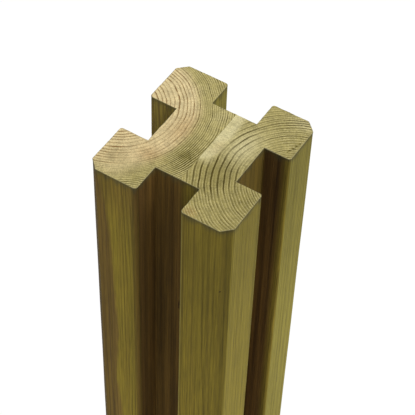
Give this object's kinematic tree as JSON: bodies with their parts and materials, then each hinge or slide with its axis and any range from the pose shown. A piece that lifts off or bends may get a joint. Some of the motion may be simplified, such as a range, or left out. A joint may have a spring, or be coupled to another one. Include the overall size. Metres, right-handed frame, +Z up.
{
  "type": "slotted wooden fence post",
  "caption": "Straight laminated softwood fence post with bevelled corners and a board groove down each face.",
  "frame": {"origin": "centre of the sawn foot, on the surface the post stands on", "axes": "+Z up the post; +X square to the glue line, -Y is the face that looks to the lower left in the picture"},
  "size_m": [0.09, 0.094, 1.9],
  "materials": {
    "left_lamination": "planed, pressure-treated",
    "right_lamination": "planed, pressure-treated"
  },
  "bodies": {
    "root": {"left_lamination": "left_lamination", "right_lamination": "right_lamination"}
  },
  "joints": []
}
